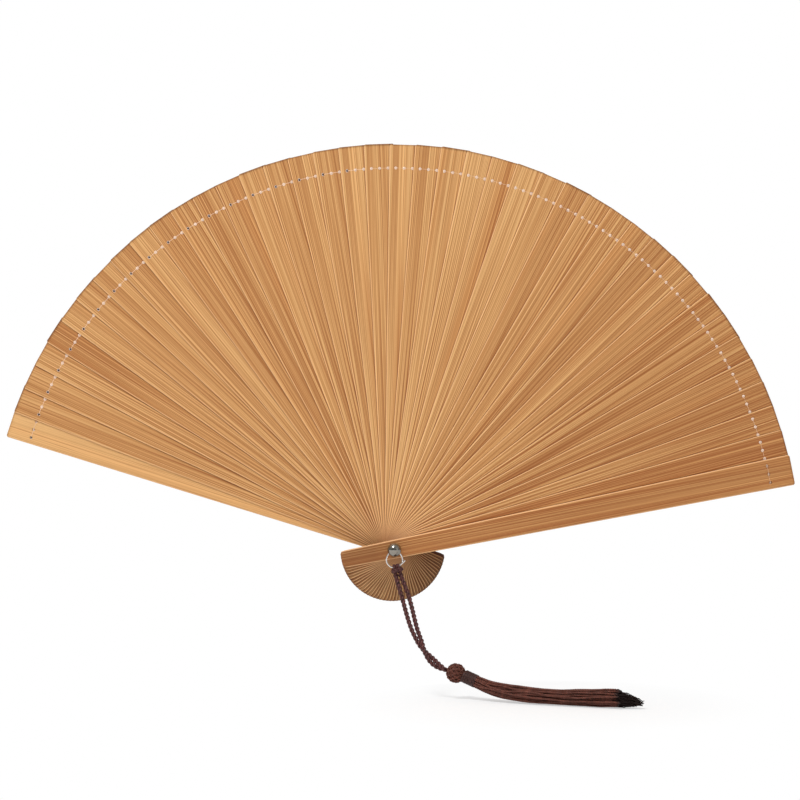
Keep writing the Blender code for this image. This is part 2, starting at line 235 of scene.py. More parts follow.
class Tree:
    """Adds nodes to a node tree. An input takes a plain value, a node or a node's output."""

    def __init__(self, group):
        self.group = group
        self.start = None

    def node(self, kind, inputs=(), **settings):
        made = self.group.nodes.new(kind)
        for name, value in settings.items():
            setattr(made, name, value)
        for key, value in dict(inputs).items():
            self.put(made.inputs[key], value)
        return made

    def put(self, socket, value):
        if isinstance(value, bpy.types.Node):
            value = value.outputs[0]
        if isinstance(value, bpy.types.NodeSocket):
            self.group.links.new(value, socket)
        else:
            socket.default_value = value

    def given(self, name):
        if self.start is None:
            self.start = self.group.nodes.new("NodeGroupInput")
        return self.start.outputs[name]

    def math(self, operation, *values, clamp=False):
        made = self.node("ShaderNodeMath", operation=operation, use_clamp=clamp)
        for socket, value in zip(made.inputs, values):
            self.put(socket, value)
        return made.outputs[0]

    def plus(self, *values, clamp=False):
        return self.math("ADD", *values, clamp=clamp)

    def minus(self, *values, clamp=False):
        return self.math("SUBTRACT", *values, clamp=clamp)

    def times(self, *values):
        return self.math("MULTIPLY", *values)

    def over(self, *values):
        return self.math("DIVIDE", *values)

    def vector(self, operation, *values):
        made = self.node("ShaderNodeVectorMath", operation=operation)
        for socket, value in zip(made.inputs, values):
            self.put(socket, value)
        return made.outputs[0]

    def scaled(self, vector, factor):
        inputs = {"Vector": vector, "Scale": factor}
        return self.node("ShaderNodeVectorMath", inputs, operation="SCALE").outputs[0]

    def xyz(self, x=0.0, y=0.0, z=0.0):
        return self.node("ShaderNodeCombineXYZ", {"X": x, "Y": y, "Z": z}).outputs[0]

    def split(self, vector):
        return self.node("ShaderNodeSeparateXYZ", {"Vector": vector}).outputs

    def ranged(self, value, low, high, to_low, to_high):
        inputs = {"Value": value, "From Min": low, "From Max": high, "To Min": to_low, "To Max": to_high}
        return self.node("ShaderNodeMapRange", inputs).outputs[0]

    def noise(self, vector, scale, detail=2.0, rough=0.5):
        inputs = {"Vector": vector, "Scale": scale, "Detail": detail, "Roughness": rough}
        return self.node("ShaderNodeTexNoise", inputs).outputs[0]

    def blend(self, factor, one, two, operation="MIX"):
        made = self.node("ShaderNodeMix", data_type="RGBA", blend_type=operation)
        self.put(made.inputs["Factor"], factor)
        self.put(made.inputs[6], one)
        self.put(made.inputs[7], two)
        return made.outputs[2]

    def tinted(self, factor, colour, tint):
        return self.blend(factor, colour, tint, "MULTIPLY")

    def stored(self, geometry, name, value, form="FLOAT", domain="POINT"):
        inputs = {"Geometry": geometry, "Name": name, "Value": value}
        return self.node("GeometryNodeStoreNamedAttribute", inputs, data_type=form, domain=domain)

    def named(self, name):
        return self.node("GeometryNodeInputNamedAttribute", {"Name": name}, data_type="FLOAT").outputs[0]

    def moved(self, geometry, position=None, offset=None):
        inputs = {"Geometry": geometry}
        if position is not None:
            inputs["Position"] = position
        if offset is not None:
            inputs["Offset"] = offset
        return self.node("GeometryNodeSetPosition", inputs)

    def copied(self, curve, count):
        inputs = {"Geometry": curve, "Amount": count}
        return self.node("GeometryNodeDuplicateElements", inputs, domain="SPLINE")

    def spline(self, output):
        return self.node("GeometryNodeSplineParameter").outputs[output]

    def swept(self, curve, profile):
        inputs = {"Curve": curve, "Profile Curve": profile, "Fill Caps": True}
        return self.node("GeometryNodeCurveToMesh", inputs)

    def position(self):
        return self.split(self.node("GeometryNodeInputPosition"))

    def results(self, **values):
        end = self.group.nodes.new("NodeGroupOutput")
        for name, value in values.items():
            self.put(end.inputs[name], value)


def new_tree(name, kind, inputs, outputs):
    """A node group with named inputs (name, form, default) and outputs (name, form)."""
    group = bpy.data.node_groups.new(name, kind)
    for label, form, value in inputs:
        socket = group.interface.new_socket(name=label, in_out="INPUT", socket_type="NodeSocket" + form)
        if value is not None:
            socket.default_value = value
    for label, form in outputs:
        group.interface.new_socket(name=label, in_out="OUTPUT", socket_type="NodeSocket" + form)
    return Tree(group)


def geometry_tree(name, inputs):
    return new_tree(name, "GeometryNodeTree", inputs, [("Geometry", "Geometry")])


def grown(name, group, values, path=None):
    """Runs a geometry tree on a path, or on nothing, and returns the result as a plain mesh object."""
    source = bpy.data.meshes.new(name + "_source")
    if path is not None:
        points, reach, closed = path
        edges = [(k, k + 1) for k in range(len(points) - 1)]
        if closed:
            edges.append((len(points) - 1, 0))
        source.from_pydata([tuple(p) for p in points], edges, [])
        if reach is not None:
            layer = source.attributes.new("reach", "FLOAT", "POINT")
            layer.data.foreach_set("value", np.asarray(reach, np.float32))
    holder = bpy.data.objects.new(name + "_source", source)
    bpy.context.scene.collection.objects.link(holder)
    modifier = holder.modifiers.new("build", "NODES")
    modifier.node_group = group
    sockets = {s.name: s.identifier for s in group.interface.items_tree if s.in_out == "INPUT"}
    for label, value in values.items():
        modifier[sockets[label]] = value
    depsgraph = bpy.context.evaluated_depsgraph_get()
    mesh = bpy.data.meshes.new_from_object(
        holder.evaluated_get(depsgraph), preserve_all_data_layers=True, depsgraph=depsgraph
    )
    bpy.data.objects.remove(holder)
    bpy.data.meshes.remove(source)
    if not mesh.polygons:
        raise RuntimeError(f"{name} came out empty")
    mesh.name = name
    mesh.shade_smooth()
    mesh.set_sharp_from_angle(angle=SHARP)
    piece = bpy.data.objects.new(name, mesh)
    bpy.context.scene.collection.objects.link(piece)
    return piece


def placed(piece, body, slot, *nodes):
    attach(piece, body)
    if nodes:
        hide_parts(*nodes)
    return piece


# ---------------------------------------------------------------- materials


def finish(name, build):
    """A material whose nodes are added by build(tree, principled)."""
    made = bpy.data.materials.new(name)
    made.use_nodes = True
    shader = made.node_tree.nodes["Principled BSDF"]
    build(Tree(made.node_tree), shader)
    return made


def group_node(tree, group, inputs):
    made = tree.node("ShaderNodeGroup", node_tree=group)
    for key, value in inputs.items():
        tree.put(made.inputs[key], value)
    return made.outputs


def fibre_group():
    """Split bamboo: broad streaks, fibres and short dark bundles along the stick."""
    t = new_tree(
        "Bamboo fibre",
        "ShaderNodeTree",
        [
            ("Place", "Vector", None),
            ("Tone", "Float", 0.5),
            ("Pale", "Color", (1, 1, 1, 1)),
            ("Mid", "Color", (0.5, 0.5, 0.5, 1)),
            ("Dark", "Color", (0.1, 0.1, 0.1, 1)),
            ("Streaks", "Float", 1.0),
            ("Fibres", "Float", 1.0),
        ],
        [("Color", "Color"), ("Roughness", "Float"), ("Height", "Float")],
    )
    along, across, _ = t.split(t.given("Place"))
    number = t.times(t.given("Tone"), 91.7)

    def bands(stretch, pitch, shift, detail):
        """Noise drawn out along the stick. pitch is the bands' width in metres."""
        place = t.xyz(t.times(along, stretch), t.over(across, pitch),
                      t.plus(number, shift))
        return t.noise(place, 1.0, detail, 0.6)

    broad = bands(3.0, 0.0022, 0.0, 1.0)
    middle = bands(3.0, 0.00062, 5.3, 1.0)
    fine = bands(7.0, 0.0003, 9.1, 1.0)
    hair = bands(60.0, 0.00016, 13.7, 0.0)
    streak = t.times(t.minus(broad, 0.5), t.times(t.given("Streaks"), 0.3))
    ridges = t.plus(t.times(t.minus(middle, 0.5), 0.9),
                    t.times(t.minus(fine, 0.5), 1.7))
    ridges = t.times(ridges, t.given("Fibres"))
    level = t.plus(t.plus(streak, ridges), 0.5)
    level = t.plus(level, t.times(t.minus(t.given("Tone"), 0.5), 0.55), clamp=True)
    lower = t.blend(t.ranged(level, 0.12, 0.5, 0.0, 1.0), t.given("Dark"), t.given("Mid"))
    colour = t.blend(t.ranged(level, 0.5, 0.92, 0.0, 1.0), lower, t.given("Pale"))
    bundles = t.ranged(bands(26.0, 0.00042, 21.3, 0.0), 0.68, 0.8, 0.0, 0.4)
    colour = t.blend(bundles, colour, t.given("Dark"))
    redness = t.ranged(bands(2.0, 0.006, 33.0, 0.0), 0.45, 0.8, 0.0, 0.5)
    colour = t.tinted(redness, colour, (1.0, 0.86, 0.74, 1.0))
    rough = t.ranged(t.plus(fine, hair), 0.6, 1.4, 0.42, 0.6)
    height = t.plus(t.times(fine, 0.7), t.times(hair, 0.3))
    height = t.minus(height, t.times(bundles, 0.4))
    t.results(Color=colour, Roughness=rough, Height=height)
    return t.group


def edge_group():
    """A stick's pale planed edges with a painted highlight on them, and a painted shadow line where the next
    stick's edge lies on it.
    """
    t = new_tree(
        "Stick edges",
        "ShaderNodeTree",
        [
            ("Place", "Vector", None),
            ("Tail radius", "Float", 0.0267),
            ("Tail width", "Float", 0.0084),
            ("Slope", "Float", 0.03),
            ("Step", "Float", 0.0642),
        ],
        [("Planed", "Float"), ("Dust", "Float")],
    )
    along, across, _ = t.split(t.given("Place"))
    width = t.plus(t.given("Tail width"),
                   t.times(t.given("Slope"), t.plus(along, t.given("Tail radius"))))
    half = t.times(width, 0.5)
    inset = t.minus(half, t.math("ABSOLUTE", across))
    next_across = t.plus(across, t.times(along, t.given("Step")))
    beyond = t.math("ABSOLUTE", t.minus(t.math("ABSOLUTE", next_across), half))
    # Near each edge: pale planed wood and a painted highlight.
    planed_highlight = t.ranged(inset, 0.0003, 0.0006, 1.0, 0.0)
    # Painted shadow: a dark band along the line where the next stick's edge lies.
    painted_shadow = t.ranged(beyond, 0.0001, 0.0005, 1.0, 0.0)
    t.results(Planed=planed_highlight, Dust=painted_shadow)
    return t.group


def yarn_group():
    """Fine filaments along a twisted yarn, from its run in metres and its round direction, with painted
    highlight dots along its twist.
    """
    t = new_tree(
        "Silk yarn",
        "ShaderNodeTree",
        [
            ("Run", "Float", 0.0),
            ("Round", "Vector", None),
            ("Color", "Color", (0.5, 0.5, 0.5, 1)),
            ("Variation", "Float", 0.5),
        ],
        [("Color", "Color"), ("Roughness", "Float"), ("Height", "Float")],
    )
    x, y, _ = t.split(t.given("Round"))
    lift = t.over(t.given("Run"), 0.0016)
    filaments = t.noise(t.xyz(t.times(x, 5.0), t.times(y, 5.0), lift), 1.6, 3.0, 0.65)
    patches = t.noise(t.xyz(x, y, t.over(t.given("Run"), 0.006)), 1.0, 1.0, 0.5)
    swing = t.times(t.minus(filaments, 0.5), t.times(t.given("Variation"), 3.0))
    swing = t.plus(swing, t.times(t.minus(patches, 0.5), t.given("Variation")))
    # Painted highlights: light dots along the twist, where the plies' highlights would fall; the filaments
    # and patches above are the yarn's own tone.
    twist_glint = t.noise(t.xyz(t.times(x, 2.0), t.times(y, 2.0),
                          t.over(t.given("Run"), 0.0009)), 1.0, 1.0, 0.5)
    swing = t.plus(swing, t.times(t.minus(twist_glint, 0.5),
                                        t.times(t.given("Variation"), 3.0)))
    bright = t.math("MAXIMUM", t.plus(swing, 1.0), 0.25)
    colour = t.scaled(t.given("Color"), bright)
    rough = t.ranged(filaments, 0.3, 0.7, 0.7, 0.45)
    t.results(Color=colour, Roughness=rough, Height=filaments)
    return t.group


def wear_group():
    """Fine scratches and dull patches of handled plating, from a place in metres."""
    t = new_tree(
        "Plating wear",
        "ShaderNodeTree",
        [("Place", "Vector", None), ("Color", "Color", (0.7, 0.7, 0.7, 1)), ("Dullness", "Float", 0.5)],
        [("Color", "Color"), ("Roughness", "Float"), ("Height", "Float")],
    )
    x, y, z = t.split(t.given("Place"))
    scratches = t.noise(t.xyz(t.times(x, 900.0), t.times(y, 5200.0),
                              t.times(z, 2600.0)), 1.0, 3.0, 0.6)
    patches = t.noise(t.given("Place"), 700.0, 3.0, 0.6)
    worn = t.times(t.ranged(patches, 0.45, 0.75, 0.0, 1.0), t.given("Dullness"))
    colour = t.tinted(worn, t.given("Color"), (0.62, 0.55, 0.46, 1.0))
    rough = t.plus(t.ranged(scratches, 0.35, 0.7, 0.1, 0.26), t.times(worn, 0.22))
    t.results(Color=colour, Roughness=rough, Height=scratches)
    return t.group


def shared(name, maker):
    """The node group of that name, built on first use."""
    return bpy.data.node_groups.get(name) or maker()


def colour4(colour):
    return (*colour, 1.0)


def bamboo(name, settings, streaks, fibres, rim_dirt, painted_shadow):
    """Split bamboo that follows the stick's own map, in metres from the rivet and from its middle line."""

    def build(t, shader):
        place = t.node("ShaderNodeUVMap", uv_map="Grain").outputs[0]
        tone = t.node("ShaderNodeAttribute", attribute_name="tone").outputs["Fac"]
        made = group_node(
            t,
            shared("Bamboo fibre", fibre_group),
            {
                "Place": place,
                "Tone": tone,
                "Pale": colour4(settings.pale),
                "Mid": colour4(settings.mid),
                "Dark": colour4(settings.dark),
                "Streaks": streaks,
                "Fibres": fibres,
            },
        )
        slope = (settings.rim_width - settings.tail_width) / (settings.rim_radius + settings.tail_radius)
        edges = group_node(
            t,
            shared("Stick edges", edge_group),
            {
                "Place": place,
                "Tail radius": settings.tail_radius,
                "Tail width": settings.tail_width,
                "Slope": slope,
                "Step": STICK_STEP,
            },
        )
        along, _, _ = t.split(place)
        # Painted shade: the tails below the rivet darken, more on the sticks further back and most on the
        # back guard, as the stack shades them.
        painted_tail_shade = t.node("ShaderNodeAttribute", attribute_name="tail_shade").outputs["Fac"]
        tail = t.times(t.ranged(along, 0.004, -0.010, 0.0, 1.0), painted_tail_shade)
        colour = t.tinted(tail, made["Color"], (0.13, 0.075, 0.07, 1.0))
        # The pale planed edges with their painted highlight, weaker where the tail's painted shade is deep.
        bare = t.times(t.minus(1.0, t.math("POWER", tail, 3.0)), 0.7)
        colour = t.blend(t.times(edges["Planed"], bare), colour, colour4(settings.planed_highlight))
        # Painted shadow along the next stick's edge.
        colour = t.tinted(t.times(edges["Dust"], painted_shadow), colour, (0.42, 0.27, 0.2, 1.0))
        rim = t.ranged(along, settings.rim_radius - 0.0011, settings.rim_radius - 0.0001, 0.0, rim_dirt)
        colour = t.tinted(rim, colour, (0.42, 0.36, 0.32, 1.0))
        t.put(shader.inputs["Base Color"], colour)
        t.put(shader.inputs["Roughness"], made["Roughness"])
        bump = t.node("ShaderNodeBump", {"Height": made["Height"], "Strength": 0.35, "Distance": 0.00006})
        t.put(shader.inputs["Normal"], bump)
        shader.inputs["Specular IOR Level"].default_value = 0.35
        shader.inputs["Sheen Weight"].default_value = 0.05

    return finish(name, build)


def yarn(name, colour, variation, shine, tips=None):
    """Twisted silk or cotton. With tips, it takes that colour where its own "along" value nears 1."""

    def build(t, shader):
        run = t.node("ShaderNodeAttribute", attribute_name="run").outputs["Fac"]
        turn = t.node("ShaderNodeAttribute", attribute_name="round").outputs["Vector"]
        inputs = {"Run": run, "Round": turn, "Color": colour4(colour), "Variation": variation}
        made = group_node(t, shared("Silk yarn", yarn_group), inputs)
        result = made["Color"]
        if tips is not None:
            along = t.node("ShaderNodeAttribute", attribute_name="along").outputs["Fac"]
            result = t.blend(t.ranged(along, 0.97, 1.0, 0.0, 1.0), result, colour4(tips))
        t.put(shader.inputs["Base Color"], result)
        t.put(shader.inputs["Roughness"], made["Roughness"])
        bump = t.node("ShaderNodeBump", {"Height": made["Height"], "Strength": 0.5, "Distance": 0.00008})
        t.put(shader.inputs["Normal"], bump)
        shader.inputs["Sheen Weight"].default_value = 0.03
        shader.inputs["Sheen Roughness"].default_value = 0.4
        shader.inputs["Sheen Tint"].default_value = (1.0, 0.72, 0.6, 1.0)
        shader.inputs["Specular IOR Level"].default_value = shine

    return finish(name, build)


def tassel_thread(settings):
    """The tassel's own material, built on first use."""
    name = "tassel_thread"
    return bpy.data.materials.get(name) or yarn(name, settings.silk, 1.1, 0.3, settings.tips)


def plated(name, colour, dullness):
    def build(t, shader):
        place = t.node("ShaderNodeTexCoord").outputs["Object"]
        inputs = {"Place": place, "Color": colour4(colour), "Dullness": dullness}
        made = group_node(t, shared("Plating wear", wear_group), inputs)
        t.put(shader.inputs["Base Color"], made["Color"])
        t.put(shader.inputs["Roughness"], made["Roughness"])
        bump = t.node("ShaderNodeBump", {"Height": made["Height"], "Strength": 0.12, "Distance": 0.00002})
        t.put(shader.inputs["Normal"], bump)
        shader.inputs["Metallic"].default_value = 1.0

    return finish(name, build)


# ---------------------------------------------------------------- sticks


def stick_pose(name):
    """A stick's angle from +X, its depth and its thickness, from its CAD node."""
    low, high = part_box(name)
    points = np.array([v.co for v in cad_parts[name].data.vertices], float)
    reach = np.hypot(points[:, 0], points[:, 2])
    ends = points[reach > reach.max() - 0.5 * MM]
    turns = np.arctan2(ends[:, 2], ends[:, 0])
    return float(turns.min() + turns.max()) / 2, (low.y + high.y) / 2, high.y - low.y


def stick_tree():
    """One stick: an outlined sheet with worn fibres on both faces, closed round its edge and drilled."""
    t = geometry_tree(
        "Fan stick",
        [
            ("Rim radius", "Float", 0.203),
            ("Tail radius", "Float", 0.027),
            ("Rim width", "Float", 0.015),
            ("Tail width", "Float", 0.008),
            ("Rim corner", "Float", 0.0007),
            ("Tail corner", "Float", 0.0015),
            ("Thickness", "Float", 0.00045),
            ("Edge wear", "Float", 0.00012),
            ("Edge width", "Float", 0.0004),
            ("Fibre relief", "Float", 0.00005),
            ("Thread radius", "Float", 0.191),
            ("Thread spacing", "Float", 0.0042),
            ("Thread hole", "Float", 0.0007),
            ("Rivet hole", "Float", 0.0013),
            ("Rows", "Int", 30),
            ("Columns", "Int", 41),
            ("Angle", "Float", 0.0),
            ("Depth", "Float", 0.0),
            ("Number", "Float", 0.0),
            ("Tone", "Float", 0.5),
            ("Tail shade", "Float", 0.5),
            ("Material", "Material", None),
        ],
    )
    g = t.given
    inputs = {"Size X": 1.0, "Size Y": 1.0, "Vertices X": g("Rows"), "Vertices Y": g("Columns")}
    grid = t.node("GeometryNodeMeshGrid", inputs)
    share, side, _ = t.position()
    share = t.plus(share, 0.5)
    half = t.times(t.plus(g("Rim radius"), g("Tail radius")), 0.5)
    middle = t.times(t.minus(g("Rim radius"), g("Tail radius")), 0.5)
    swing = t.math("COSINE", t.times(share, math.pi))
    along = t.minus(middle, t.times(half, swing))
    spread = t.minus(g("Rim width"), g("Tail width"))
    slope = t.over(spread, t.times(half, 2.0))
    width = t.plus(g("Tail width"), t.times(slope, t.plus(along, g("Tail radius"))))

    def corner(radius, distance):
        """How much a rounded corner takes off the half width at that distance from the end."""
        inside = t.math("MAXIMUM", t.minus(radius, distance), 0.0)
        chord = t.minus(t.times(radius, radius), t.times(inside, inside))
        return t.minus(radius, t.math("SQRT", t.math("MAXIMUM", chord, 0.0)))

    wide = t.times(width, 0.5)
    wide = t.minus(wide, corner(g("Rim corner"), t.minus(g("Rim radius"), along)))
    wide = t.minus(wide, corner(g("Tail corner"), t.plus(g("Tail radius"), along)))
    across = t.times(t.times(side, 2.0), wide)
    inset = t.minus(wide, t.math("ABSOLUTE", across))
    near = t.minus(1.0, t.over(inset, g("Edge width")), clamp=True)
    drop = t.times(t.times(near, near), g("Edge wear"))
    place = t.xyz(t.times(along, 9.0), t.times(across, 950.0),
                  t.times(g("Number"), 3.7))
    relief = t.times(t.ranged(t.noise(place, 1.0, 2.0), 0.3, 0.7, 0.0, 1.0), g("Fibre relief"))
    front = t.plus(t.times(g("Thickness"), -0.5), t.plus(drop, relief))
    sheet = t.moved(grid, t.xyz(along, front, across))
    inputs = {
        "Mesh": sheet,
        "Offset": t.xyz(0.0, 1.0, 0.0),
        "Offset Scale": g("Thickness"),
        "Individual": False,
    }
    raised = t.node("GeometryNodeExtrudeMesh", inputs, mode="FACES")
    x, y, z = t.position()
    mirrored = t.xyz(x, t.minus(g("Thickness"), y), z)
    inputs = {"Geometry": raised.outputs["Mesh"], "Selection": raised.outputs["Top"], "Position": mirrored}
    back = t.node("GeometryNodeFlipFaces", {"Mesh": t.node("GeometryNodeSetPosition", inputs)})
    whole = t.node("GeometryNodeJoinGeometry")
    for part in (back, sheet):
        t.group.links.new(part.outputs[0], whole.inputs[0])
    whole = t.node("GeometryNodeMergeByDistance", {"Geometry": whole, "Distance": 1e-6})

    holes = t.node("GeometryNodeJoinGeometry")
    spacing = g("Thread spacing")
    drills = [
        (g("Thread hole"), g("Thread radius"), t.times(spacing, -1.0)),
        (g("Thread hole"), g("Thread radius"), 0.0),
        (g("Thread hole"), g("Thread radius"), spacing),
        (g("Rivet hole"), 0.0, 0.0),
    ]
    for radius, distance, offset in drills:
        inputs = {"Vertices": 18, "Radius": radius, "Depth": t.times(g("Thickness"), 4.0)}
        drill = t.node("GeometryNodeMeshCylinder", inputs)
        inputs = {"Geometry": drill, "Translation": t.xyz(distance, 0.0, offset),
                  "Rotation": (math.pi / 2, 0.0, 0.0)}
        t.group.links.new(t.node("GeometryNodeTransform", inputs).outputs[0], holes.inputs[0])
    drilled = t.node("GeometryNodeMeshBoolean", operation="DIFFERENCE", solver="EXACT")
    t.put(drilled.inputs["Mesh 1"], whole)
    t.put(drilled.inputs["Mesh 2"], holes)
    x, y, z = t.position()
    mapped = t.stored(drilled, "Grain", t.xyz(x, z, 0.0), "FLOAT2", "CORNER")
    toned = t.stored(t.stored(mapped, "tone", g("Tone")), "tail_shade", g("Tail shade"))
    return turned_and_dressed(t, toned)


def turned_and_dressed(t, geometry):
    """Turns a stick's geometry to its angle and depth in the fan, gives it its material and ends the tree."""
    g = t.given
    inputs = {
        "Geometry": geometry,
        "Translation": t.xyz(0.0, g("Depth"), 0.0),
        "Rotation": t.xyz(0.0, t.times(g("Angle"), -1.0), 0.0),
    }
    turned = t.node("GeometryNodeTransform", inputs)
    dressed = t.node("GeometryNodeSetMaterial", {"Geometry": turned, "Material": g("Material")})
    t.results(Geometry=t.node("GeometryNodeRealizeInstances", {"Geometry": dressed}))
    return t.group


def stitch_tree():
    """The rim thread on one stick: a line in front, a plug in each hole and a line behind to its right."""
    t = geometry_tree(
        "Rim stitches",
        [
            ("Thickness", "Float", 0.00045),
            ("Thread radius", "Float", 0.191),
            ("Thread spacing", "Float", 0.0042),
            ("Yarn radius", "Float", 0.00006),
            ("Painted hole shade", "Float", 0.0),
            ("Plug radius", "Float", 0.0006),
            ("Proud", "Float", 0.00005),
            ("Reach behind", "Float", 0.0076),
            ("Angle", "Float", 0.0),
            ("Depth", "Float", 0.0),
            ("Number", "Float", 0.0),
            ("Material", "Material", None),
        ],
    )
    g = t.given
    face = t.times(g("Thickness"), 0.5)
    spacing = g("Thread spacing")
    thread = t.node("GeometryNodeJoinGeometry")
    circle = t.node("GeometryNodeCurvePrimitiveCircle", {"Resolution": 6, "Radius": g("Yarn radius")})
    runs = [(-1.0, t.times(spacing, -1.0), spacing),
            (1.0, t.times(spacing, -1.0), t.times(g("Reach behind"), -1.0))]
    for face_side, start, end in runs:
        line = t.node("GeometryNodeCurvePrimitiveLine", {"Start": t.xyz(g("Thread radius"), 0.0, start),
                                                         "End": t.xyz(g("Thread radius"), 0.0, end)})
        line = t.node("GeometryNodeResampleCurve", {"Curve": line, "Count": 15})
        x, y, z = t.position()
        sway = t.noise(t.xyz(0.0, g("Number"), t.times(z, 300.0)), 1.0, 1.0)
        sway = t.times(t.minus(sway, 0.5), 0.0004)
        line = t.moved(line, offset=t.xyz(sway, 0.0, 0.0))
        tube = t.swept(line, circle)
        squeeze = t.over(g("Proud"), g("Yarn radius"))
        x, y, z = t.position()
        hole = t.math("PINGPONG", z, t.times(spacing, 0.5))
        dip = t.times(t.ranged(hole, 0.0, 0.0007, 0.00004, 0.0), -face_side)
        flat = t.plus(t.times(y, squeeze), t.times(face, face_side))
        tube = t.moved(tube, t.xyz(x, t.plus(flat, dip), z))
        t.group.links.new(tube.outputs[0], thread.inputs[0])
    for place in (-1.0, 0.0, 1.0):
        plug = t.node("GeometryNodeMeshUVSphere", {"Segments": 10, "Rings": 6, "Radius": g("Plug radius")})
        x, y, z = t.position()
        shift = t.xyz(g("Number"), place, 0.0)
        lump = t.noise(t.vector("ADD", t.node("GeometryNodeInputPosition"), shift), 2300.0)
        lump = t.ranged(lump, 0.3, 0.7, 0.9, 1.0)
        tall = t.over(t.plus(face, g("Proud")), g("Plug radius"))
        shaped = t.xyz(t.times(x, lump), t.times(y, tall), t.times(z, lump))
        plug = t.moved(plug, shaped)
        moved = t.xyz(g("Thread radius"), 0.0, t.minus(t.times(spacing, place), 0.00003 * (1 + place)))
        plug = t.node("GeometryNodeTransform", {"Geometry": plug, "Translation": moved})
        # The outer plug can take the dark colour: painted shade in place of a shadowed hole.
        plug = t.stored(plug, "along", g("Painted hole shade") if place > 0 else 0.0)
        t.group.links.new(plug.outputs[0], thread.inputs[0])
    x, y, z = t.position()
    thread = t.stored(thread, "run", z)
    turn = t.xyz(t.times(t.minus(x, g("Thread radius")), 2000.0), t.times(y, 2000.0))
    return turned_and_dressed(t, t.stored(thread, "round", turn, "FLOAT_VECTOR"))


# ---------------------------------------------------------------- yarn that follows a path


def strand_tree():
    """Plies laid round a path, as in a twisted cord. One ply with no lay radius is a plain wire."""
    t = geometry_tree(
        "Laid strand",
        [
            ("Geometry", "Geometry", None),
            ("Plies", "Int", 2),
            ("Lay radius", "Float", 0.0005),
            ("Lay length", "Float", 0.0044),
            ("Ply radius", "Float", 0.0005),
            ("Step", "Float", 0.0004),
            ("Sides", "Int", 8),
            ("Phase", "Float", 0.0),
            ("Material", "Material", None),
        ],
    )
    g = t.given
    curve = t.node("GeometryNodeMeshToCurve", {"Mesh": g("Geometry")})
    curve = t.node("GeometryNodeResampleCurve", {"Curve": curve, "Length": g("Step")}, mode="LENGTH")
    copies = t.copied(curve, g("Plies"))
    length = t.spline("Length")
    share = t.over(copies.outputs["Duplicate Index"], g("Plies"))
    turns = t.plus(t.plus(t.over(length, g("Lay length")), share), g("Phase"))
    laid = t.moved(copies, offset=laid_offset(t, turns, g("Lay radius")))
    t.results(Geometry=dressed_yarn(t, laid, g("Ply radius"), g("Sides"), g("Material")))
    return t.group


def laid_offset(t, turns, radius):
    """The vector out from a curve, at that many turns round it."""
    turn = t.times(turns, 2 * math.pi)
    normal = t.node("GeometryNodeInputNormal").outputs[0]
    across = t.vector("CROSS_PRODUCT", t.node("GeometryNodeInputTangent").outputs[0], normal)
    out = t.vector("ADD", t.scaled(normal, t.math("COSINE", turn)), t.scaled(across, t.math("SINE", turn)))
    return t.scaled(out, radius)


def dressed_yarn(t, curve, radius, sides, material):
    """A curve as round yarn that knows its run in metres and its direction from the yarn's own middle."""
    length = t.spline("Length")
    factor = t.spline("Factor")
    for name, value in (("run", length), ("along", factor)):
        curve = t.stored(curve, name, value)
    circle = t.node("GeometryNodeCurvePrimitiveCircle", {"Resolution": sides, "Radius": radius})
    out = t.vector("NORMALIZE", t.node("GeometryNodeInputPosition").outputs[0])
    circle = t.stored(circle, "round", out, "FLOAT_VECTOR")
    dressed = t.node("GeometryNodeSetMaterial", {"Geometry": t.swept(curve, circle), "Material": material})
    return t.node("GeometryNodeRealizeInstances", {"Geometry": dressed})


